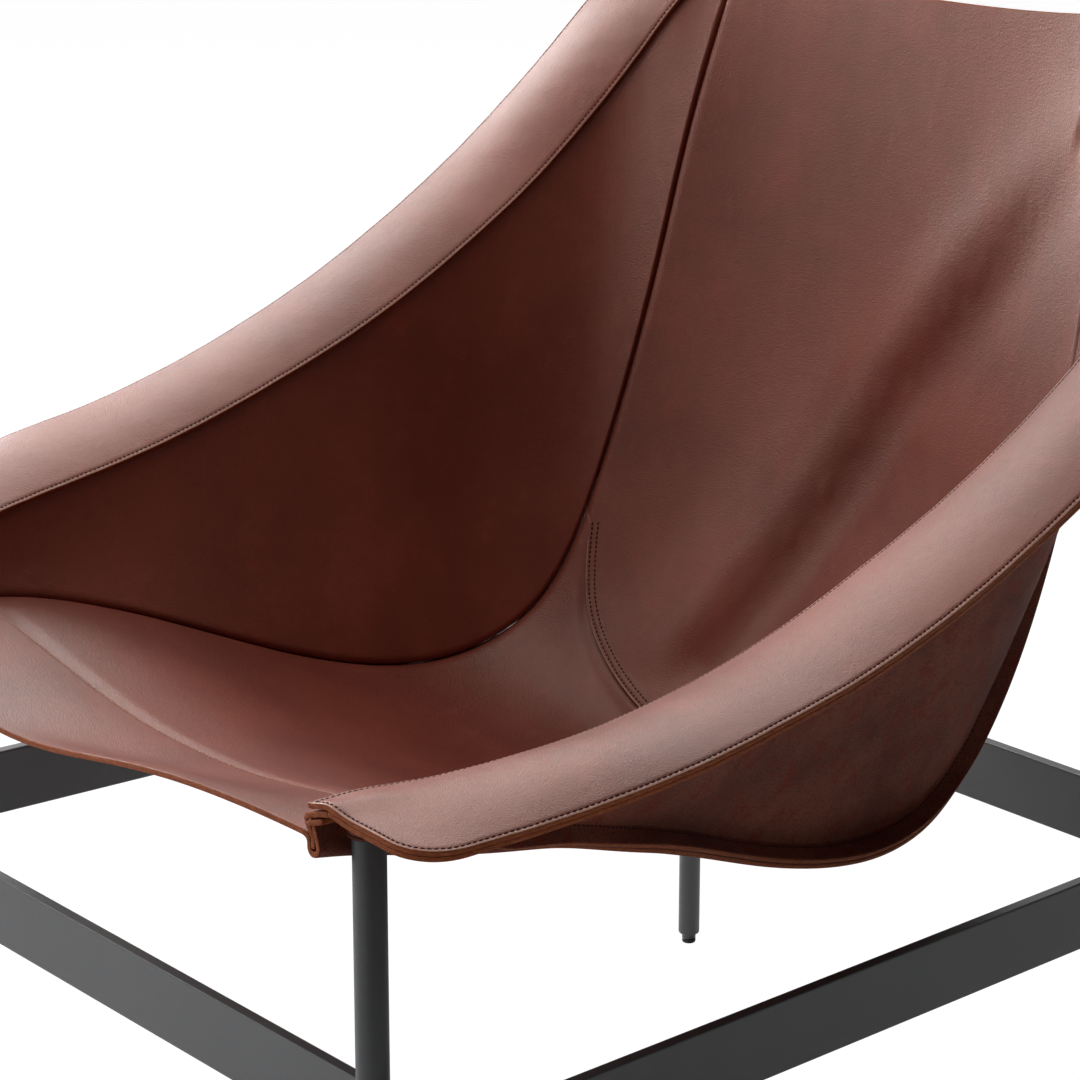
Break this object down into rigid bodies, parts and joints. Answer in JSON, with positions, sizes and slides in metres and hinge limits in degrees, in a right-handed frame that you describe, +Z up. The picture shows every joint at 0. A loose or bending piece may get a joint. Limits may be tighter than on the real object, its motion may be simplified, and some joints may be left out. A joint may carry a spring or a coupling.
{
  "type": "sling lounge chair",
  "caption": "Low lounge chair: a bucket sling sewn from thick saddle leather, with wide flat rim bands, hung from the tops of short front legs and tall rear posts on a flat-bar steel ring.",
  "frame": {"origin": "on the floor, under the middle of the chair's overall box", "axes": "+Z up, the chair faces -Y, +X is the sitter's left"},
  "size_m": [0.761, 0.7124, 0.7593],
  "materials": {
    "steel": "satin dark grey powder coat",
    "plastic": "matte black",
    "hide": "satin reddish-brown saddle leather with raw cut edges",
    "lining": "suede side of the same leather"
  },
  "bodies": {
    "root": {"front_bar": "steel", "rear_bar": "steel", "left_bar": "steel", "right_bar": "steel", "front_leg_left": "steel", "front_leg_right": "steel", "rear_post_left": "steel", "rear_post_right": "steel", "front_leg_cap_left": "plastic", "front_leg_cap_right": "plastic", "rear_post_cap_left": "plastic", "rear_post_cap_right": "plastic", "front_leg_glide_left": "plastic", "front_leg_glide_right": "plastic", "rear_post_glide_left": "plastic", "rear_post_glide_right": "plastic", "rim_band_left": "hide", "rim_band_right": "hide", "side_panel_left": "hide", "side_panel_right": "hide", "front_panel": "hide", "seat_panel": "hide", "back_panel": "hide", "front_leg_pocket_left": "hide", "front_leg_pocket_right": "hide", "rear_post_pocket_left": "hide", "rear_post_pocket_right": "hide", "band_lining_left": "lining", "band_lining_right": "lining"}
  },
  "joints": []
}
